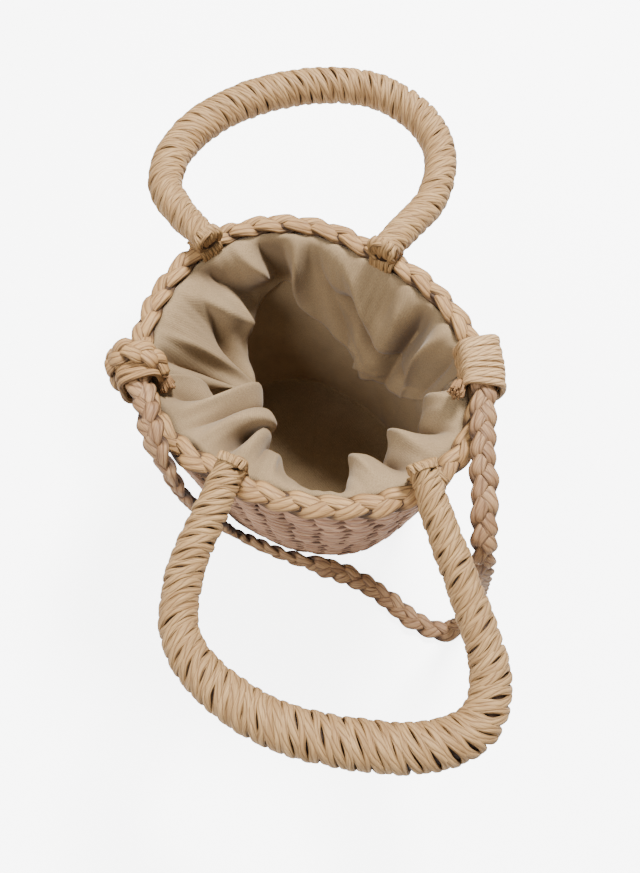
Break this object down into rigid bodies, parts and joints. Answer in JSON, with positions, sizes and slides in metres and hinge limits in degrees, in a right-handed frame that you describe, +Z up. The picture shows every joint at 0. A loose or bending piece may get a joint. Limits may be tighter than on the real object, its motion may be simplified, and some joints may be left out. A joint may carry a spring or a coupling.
{
  "type": "straw basket bag",
  "caption": "Small tapered straw bag of stacked braid with a braided rim, two wrapped loop handles laid outward, a folded-in cloth collar and a flat braided shoulder strap.",
  "frame": {"origin": "middle of the flat underside", "axes": "+Z up through the mouth, +X towards the right-hand strap binding, +Y towards the back handle; the bag is longest along Y, from one handle's crown to the other's"},
  "size_m": [0.211, 0.4178, 0.1835],
  "materials": {
    "straw_basket": "matte braided straw, rosy",
    "straw_rim": "satin braided straw, golden",
    "straw_handle": "satin wrapped straw, golden",
    "straw_strap": "matte braided straw, brown",
    "sewing_cord": "matte straw thread",
    "binding_cord": "matte twisted straw cord",
    "twill_cloth": "matte diagonal twill weave"
  },
  "bodies": {
    "root": {"basket_base": "straw_basket", "basket_wall": "straw_basket", "rim_braid": "straw_rim", "lining": "twill_cloth", "collar_back": "twill_cloth", "collar_front": "twill_cloth", "handle_back": "straw_handle", "handle_front": "straw_handle", "lashing_back_left": "sewing_cord", "lashing_back_right": "sewing_cord", "lashing_front_left": "sewing_cord", "lashing_front_right": "sewing_cord", "strap": "straw_strap", "strap_binding_right": "binding_cord", "strap_binding_left": "binding_cord", "strap_tail_right": "straw_strap", "strap_tail_left": "straw_strap"}
  },
  "joints": []
}
